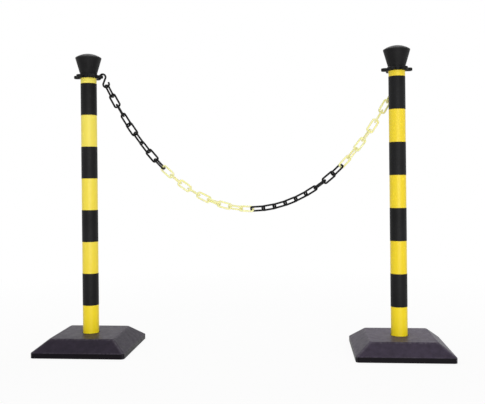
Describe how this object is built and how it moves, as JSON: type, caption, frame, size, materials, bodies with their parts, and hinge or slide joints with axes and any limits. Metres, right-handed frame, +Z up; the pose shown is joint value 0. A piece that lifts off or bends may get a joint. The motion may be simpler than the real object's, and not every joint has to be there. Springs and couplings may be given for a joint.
{
  "type": "plastic chain stanchion set",
  "caption": "Striped plastic posts on weighted square bases, with flared caps and eye collars, joined by a hanging plastic chain of coloured links on S-hooks; marks off an area.",
  "frame": {"origin": "on the floor, midway between the axes of the two posts", "axes": "+X from the left post to the right one, +Y away from the viewer, +Z up"},
  "size_m": [1.249, 0.286, 0.932],
  "materials": {
    "base_plastic": "satin moulded plastic",
    "concrete": "cast concrete",
    "yellow_tube": "satin gloss",
    "black_film": "satin vinyl film",
    "black_plastic": "moulded plastic",
    "black_link": "gloss moulded plastic",
    "yellow_link": "gloss moulded plastic"
  },
  "bodies": {
    "bases": {"left_base_shell": "base_plastic", "left_ballast": "concrete", "right_base_shell": "base_plastic", "right_ballast": "concrete"},
    "posts": {"left_tube": "yellow_tube", "left_black_bands": "black_film", "left_eye_collar": "black_plastic", "left_s_hook": "black_plastic", "right_tube": "yellow_tube", "right_black_bands": "black_film", "right_eye_collar": "black_plastic", "right_s_hook": "black_plastic"},
    "left_cap": {"left_cap": "black_plastic"},
    "right_cap": {"right_cap": "black_plastic"},
    "chain": {"link_01": "black_link", "link_36": "yellow_link"},
    "link_02": {"link_02": "black_link"},
    "link_03": {"link_03": "black_link"},
    "link_04": {"link_04": "black_link"},
    "link_05": {"link_05": "black_link"},
    "link_06": {"link_06": "black_link"},
    "link_07": {"link_07": "black_link"},
    "link_08": {"link_08": "black_link"},
    "link_09": {"link_09": "black_link"},
    "link_10": {"link_10": "yellow_link"},
    "link_11": {"link_11": "yellow_link"},
    "link_12": {"link_12": "yellow_link"},
    "link_13": {"link_13": "yellow_link"},
    "link_14": {"link_14": "yellow_link"},
    "link_15": {"link_15": "yellow_link"},
    "link_16": {"link_16": "yellow_link"},
    "link_17": {"link_17": "yellow_link"},
    "link_18": {"link_18": "yellow_link"},
    "link_19": {"link_19": "black_link"},
    "link_20": {"link_20": "black_link"},
    "link_21": {"link_21": "black_link"},
    "link_22": {"link_22": "black_link"},
    "link_23": {"link_23": "black_link"},
    "link_24": {"link_24": "black_link"},
    "link_25": {"link_25": "black_link"},
    "link_26": {"link_26": "black_link"},
    "link_27": {"link_27": "black_link"},
    "link_28": {"link_28": "yellow_link"},
    "link_29": {"link_29": "yellow_link"},
    "link_30": {"link_30": "yellow_link"},
    "link_31": {"link_31": "yellow_link"},
    "link_32": {"link_32": "yellow_link"},
    "link_33": {"link_33": "yellow_link"},
    "link_34": {"link_34": "yellow_link"},
    "link_35": {"link_35": "yellow_link"}
  },
  "joints": [
    {"name": "posts_lift", "type": "slide", "parent": "bases", "child": "posts", "axis": [0, 0, 1], "range_m": [0, 0.06]},
    {"name": "left_cap_pull", "type": "slide", "parent": "posts", "child": "left_cap", "axis": [0, 0, 1], "range_m": [0, 0.05]},
    {"name": "right_cap_pull", "type": "slide", "parent": "posts", "child": "right_cap", "axis": [0, 0, 1], "range_m": [0, 0.05]},
    {"name": "chain_swing", "type": "hinge", "parent": "posts", "child": "chain", "pos_m": [-0.4207, 0.00065, 0.826], "axis": [0.9991, 0.0414, 0.0061], "range_deg": [0, 25]},
    {"name": "link_02_twist", "type": "hinge", "parent": "chain", "child": "link_02", "pos_m": [-0.39775, 0.00161, 0.78199], "axis": [0.4761, 0.0197, -0.8792], "range_deg": [-5.3, 5.3]},
    {"name": "link_03_twist", "type": "hinge", "parent": "chain", "child": "link_03", "pos_m": [-0.38058, 0.00232, 0.75127], "axis": [0.4993, 0.0207, -0.8662], "range_deg": [-10.59, 10.59]},
    {"name": "link_04_twist", "type": "hinge", "parent": "chain", "child": "link_04", "pos_m": [-0.36256, 0.00306, 0.72104], "axis": [0.5245, 0.0217, -0.8511], "range_deg": [-15.89, 15.89]},
    {"name": "link_05_twist", "type": "hinge", "parent": "chain", "child": "link_05", "pos_m": [-0.34362, 0.00385, 0.69139], "axis": [0.5518, 0.0229, -0.8337], "range_deg": [-21.18, 21.18]},
    {"name": "link_06_twist", "type": "hinge", "parent": "chain", "child": "link_06", "pos_m": [-0.32367, 0.00468, 0.66241], "axis": [0.5814, 0.0241, -0.8133], "range_deg": [-26.48, 26.48]},
    {"name": "link_07_twist", "type": "hinge", "parent": "chain", "child": "link_07", "pos_m": [-0.30264, 0.00555, 0.6342], "axis": [0.6134, 0.0254, -0.7894], "range_deg": [-31.77, 31.77]},
    {"name": "link_08_twist", "type": "hinge", "parent": "chain", "child": "link_08", "pos_m": [-0.28045, 0.00647, 0.60691], "axis": [0.6479, 0.0268, -0.7613], "range_deg": [-37.06, 37.06]},
    {"name": "link_09_twist", "type": "hinge", "parent": "chain", "child": "link_09", "pos_m": [-0.25699, 0.00744, 0.58069], "axis": [0.6849, 0.0284, -0.7281], "range_deg": [-42.36, 42.36]},
    {"name": "link_10_twist", "type": "hinge", "parent": "chain", "child": "link_10", "pos_m": [-0.23219, 0.00847, 0.55575], "axis": [0.7242, 0.03, -0.6889], "range_deg": [-47.65, 47.65]},
    {"name": "link_11_twist", "type": "hinge", "parent": "chain", "child": "link_11", "pos_m": [-0.20597, 0.00955, 0.53232], "axis": [0.7656, 0.0317, -0.6426], "range_deg": [-52.95, 52.95]},
    {"name": "link_12_twist", "type": "hinge", "parent": "chain", "child": "link_12", "pos_m": [-0.17827, 0.0107, 0.51066], "axis": [0.8082, 0.0335, -0.5879], "range_deg": [-58.24, 58.24]},
    {"name": "link_13_twist", "type": "hinge", "parent": "chain", "child": "link_13", "pos_m": [-0.14907, 0.01191, 0.4911], "axis": [0.8511, 0.0353, -0.5238], "range_deg": [-63.53, 63.53]},
    {"name": "link_14_twist", "type": "hinge", "parent": "chain", "child": "link_14", "pos_m": [-0.11838, 0.01318, 0.47397], "axis": [0.8925, 0.037, -0.4495], "range_deg": [-68.83, 68.83]},
    {"name": "link_15_twist", "type": "hinge", "parent": "chain", "child": "link_15", "pos_m": [-0.0863, 0.01451, 0.45964], "axis": [0.9304, 0.0386, -0.3644], "range_deg": [-74.12, 74.12]},
    {"name": "link_16_twist", "type": "hinge", "parent": "chain", "child": "link_16", "pos_m": [-0.05299, 0.01589, 0.44849], "axis": [0.9623, 0.0399, -0.2692], "range_deg": [-79.42, 79.42]},
    {"name": "link_17_twist", "type": "hinge", "parent": "chain", "child": "link_17", "pos_m": [-0.01871, 0.01731, 0.44084], "axis": [0.9854, 0.0408, -0.1654], "range_deg": [-84.71, 84.71]},
    {"name": "chain_twist", "type": "hinge", "parent": "chain", "child": "link_18", "pos_m": [0.01619, 0.01876, 0.43694], "axis": [0.9976, 0.0413, -0.0558], "range_deg": [-90, 90]},
    {"name": "link_19_twist", "type": "hinge", "parent": "chain", "child": "link_19", "pos_m": [0.05131, 0.02021, 0.43694], "axis": [0.9976, 0.0413, 0.0558], "range_deg": [-90, 90]},
    {"name": "link_20_twist", "type": "hinge", "parent": "chain", "child": "link_20", "pos_m": [0.08621, 0.02166, 0.44084], "axis": [0.9854, 0.0408, 0.1654], "range_deg": [-84.71, 84.71]},
    {"name": "link_21_twist", "type": "hinge", "parent": "chain", "child": "link_21", "pos_m": [0.12049, 0.02308, 0.44849], "axis": [0.9623, 0.0399, 0.2692], "range_deg": [-79.42, 79.42]},
    {"name": "link_22_twist", "type": "hinge", "parent": "chain", "child": "link_22", "pos_m": [0.1538, 0.02446, 0.45964], "axis": [0.9304, 0.0386, 0.3644], "range_deg": [-74.12, 74.12]},
    {"name": "link_23_twist", "type": "hinge", "parent": "chain", "child": "link_23", "pos_m": [0.18588, 0.02579, 0.47397], "axis": [0.8925, 0.037, 0.4495], "range_deg": [-68.83, 68.83]},
    {"name": "link_24_twist", "type": "hinge", "parent": "chain", "child": "link_24", "pos_m": [0.21657, 0.02706, 0.4911], "axis": [0.8511, 0.0353, 0.5238], "range_deg": [-63.53, 63.53]},
    {"name": "link_25_twist", "type": "hinge", "parent": "chain", "child": "link_25", "pos_m": [0.24577, 0.02827, 0.51066], "axis": [0.8082, 0.0335, 0.5879], "range_deg": [-58.24, 58.24]},
    {"name": "link_26_twist", "type": "hinge", "parent": "chain", "child": "link_26", "pos_m": [0.27347, 0.02942, 0.53232], "axis": [0.7656, 0.0317, 0.6426], "range_deg": [-52.95, 52.95]},
    {"name": "link_27_twist", "type": "hinge", "parent": "chain", "child": "link_27", "pos_m": [0.29969, 0.03051, 0.55575], "axis": [0.7242, 0.03, 0.6889], "range_deg": [-47.65, 47.65]},
    {"name": "link_28_twist", "type": "hinge", "parent": "chain", "child": "link_28", "pos_m": [0.32449, 0.03153, 0.58069], "axis": [0.6849, 0.0284, 0.7281], "range_deg": [-42.36, 42.36]},
    {"name": "link_29_twist", "type": "hinge", "parent": "chain", "child": "link_29", "pos_m": [0.34795, 0.0325, 0.60691], "axis": [0.6479, 0.0268, 0.7613], "range_deg": [-37.06, 37.06]},
    {"name": "link_30_twist", "type": "hinge", "parent": "chain", "child": "link_30", "pos_m": [0.37015, 0.03343, 0.6342], "axis": [0.6134, 0.0254, 0.7894], "range_deg": [-31.77, 31.77]},
    {"name": "link_31_twist", "type": "hinge", "parent": "chain", "child": "link_31", "pos_m": [0.39117, 0.0343, 0.66241], "axis": [0.5814, 0.0241, 0.8133], "range_deg": [-26.48, 26.48]},
    {"name": "link_32_twist", "type": "hinge", "parent": "chain", "child": "link_32", "pos_m": [0.41112, 0.03512, 0.69139], "axis": [0.5518, 0.0229, 0.8337], "range_deg": [-21.18, 21.18]},
    {"name": "link_33_twist", "type": "hinge", "parent": "chain", "child": "link_33", "pos_m": [0.43006, 0.03591, 0.72104], "axis": [0.5245, 0.0217, 0.8511], "range_deg": [-15.89, 15.89]},
    {"name": "link_34_twist", "type": "hinge", "parent": "chain", "child": "link_34", "pos_m": [0.44808, 0.03665, 0.75127], "axis": [0.4993, 0.0207, 0.8662], "range_deg": [-10.59, 10.59]},
    {"name": "link_35_twist", "type": "hinge", "parent": "chain", "child": "link_35", "pos_m": [0.46525, 0.03737, 0.78199], "axis": [0.4761, 0.0197, 0.8792], "range_deg": [-5.3, 5.3]}
  ],
  "couplings": [
    {"joint": "link_02_twist", "follows": "chain_twist", "ratio": 0.058824},
    {"joint": "link_03_twist", "follows": "chain_twist", "ratio": 0.11765},
    {"joint": "link_04_twist", "follows": "chain_twist", "ratio": 0.17647},
    {"joint": "link_05_twist", "follows": "chain_twist", "ratio": 0.23529},
    {"joint": "link_06_twist", "follows": "chain_twist", "ratio": 0.29412},
    {"joint": "link_07_twist", "follows": "chain_twist", "ratio": 0.35294},
    {"joint": "link_08_twist", "follows": "chain_twist", "ratio": 0.41176},
    {"joint": "link_09_twist", "follows": "chain_twist", "ratio": 0.47059},
    {"joint": "link_10_twist", "follows": "chain_twist", "ratio": 0.52941},
    {"joint": "link_11_twist", "follows": "chain_twist", "ratio": 0.58823},
    {"joint": "link_12_twist", "follows": "chain_twist", "ratio": 0.64706},
    {"joint": "link_13_twist", "follows": "chain_twist", "ratio": 0.70588},
    {"joint": "link_14_twist", "follows": "chain_twist", "ratio": 0.76471},
    {"joint": "link_15_twist", "follows": "chain_twist", "ratio": 0.82353},
    {"joint": "link_16_twist", "follows": "chain_twist", "ratio": 0.88235},
    {"joint": "link_17_twist", "follows": "chain_twist", "ratio": 0.94118},
    {"joint": "link_19_twist", "follows": "chain_twist", "ratio": 1},
    {"joint": "link_20_twist", "follows": "chain_twist", "ratio": 0.94118},
    {"joint": "link_21_twist", "follows": "chain_twist", "ratio": 0.88235},
    {"joint": "link_22_twist", "follows": "chain_twist", "ratio": 0.82353},
    {"joint": "link_23_twist", "follows": "chain_twist", "ratio": 0.76471},
    {"joint": "link_24_twist", "follows": "chain_twist", "ratio": 0.70588},
    {"joint": "link_25_twist", "follows": "chain_twist", "ratio": 0.64706},
    {"joint": "link_26_twist", "follows": "chain_twist", "ratio": 0.58823},
    {"joint": "link_27_twist", "follows": "chain_twist", "ratio": 0.52941},
    {"joint": "link_28_twist", "follows": "chain_twist", "ratio": 0.47059},
    {"joint": "link_29_twist", "follows": "chain_twist", "ratio": 0.41176},
    {"joint": "link_30_twist", "follows": "chain_twist", "ratio": 0.35294},
    {"joint": "link_31_twist", "follows": "chain_twist", "ratio": 0.29412},
    {"joint": "link_32_twist", "follows": "chain_twist", "ratio": 0.23529},
    {"joint": "link_33_twist", "follows": "chain_twist", "ratio": 0.17647},
    {"joint": "link_34_twist", "follows": "chain_twist", "ratio": 0.11765},
    {"joint": "link_35_twist", "follows": "chain_twist", "ratio": 0.058824}
  ]
}
